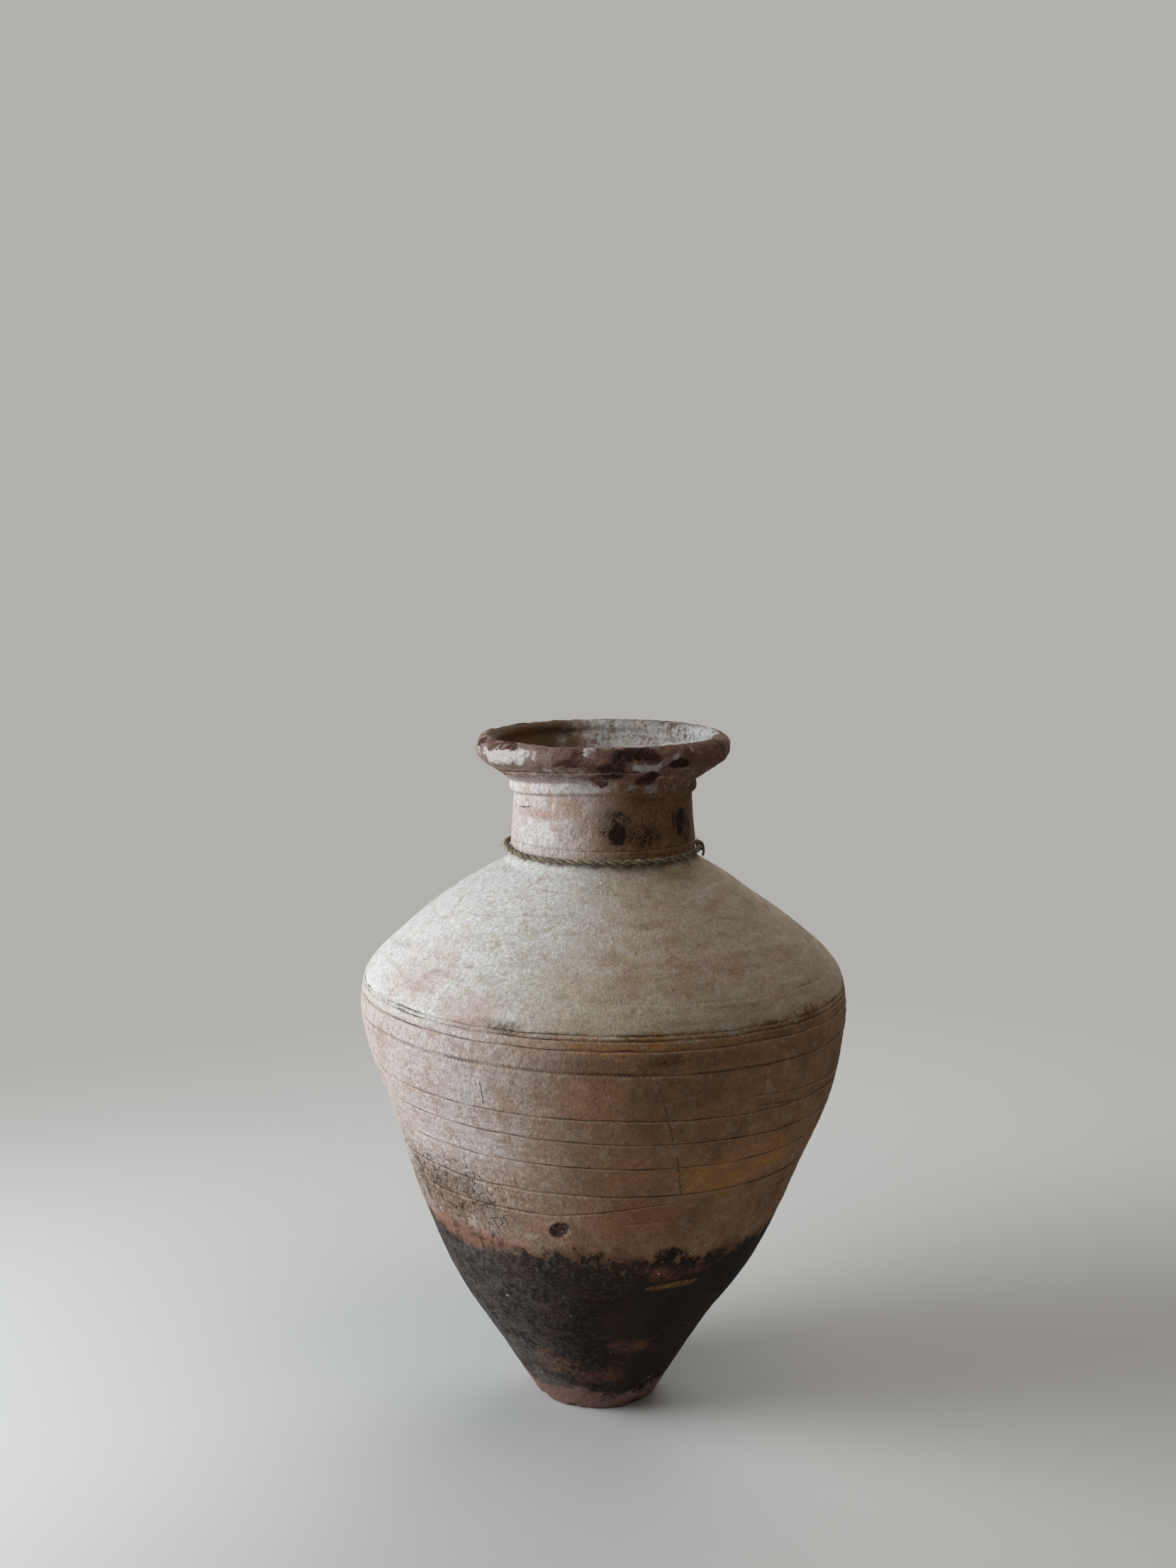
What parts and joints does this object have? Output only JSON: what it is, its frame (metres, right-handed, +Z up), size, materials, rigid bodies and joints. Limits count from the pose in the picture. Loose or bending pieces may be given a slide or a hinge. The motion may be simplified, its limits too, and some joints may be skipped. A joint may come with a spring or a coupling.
{
  "type": "olive jar",
  "caption": "Large unglazed clay storage jar for olives: small foot, conical base, full belly with drawn lines, short neck, flaring rolled rim, and a twisted cord tied round the neck.",
  "frame": {"origin": "centre of the foot, on the ground", "axes": "+Z up along the jar's axis, +X towards the knot of the cord, -Y towards the viewer"},
  "size_m": [0.5007, 0.5007, 0.7],
  "materials": {
    "clay": "unglazed, weathered, matt",
    "sooted_clay": "unglazed, blackened, matt",
    "cord": "twisted fibre, worn"
  },
  "bodies": {
    "jar": {"foot_slab": "sooted_clay", "lower_wall": "sooted_clay", "middle_wall": "clay", "upper_wall": "clay", "shoulder": "clay", "neck_collar": "clay", "rim_ring": "clay"},
    "cord": {"neck_cord": "cord", "cord_knot": "cord"}
  },
  "joints": [
    {"name": "cord_turn", "type": "hinge", "parent": "jar", "child": "cord", "pos_m": [0, 0, 0.5832], "axis": [0, 0, 1], "continuous": true}
  ]
}
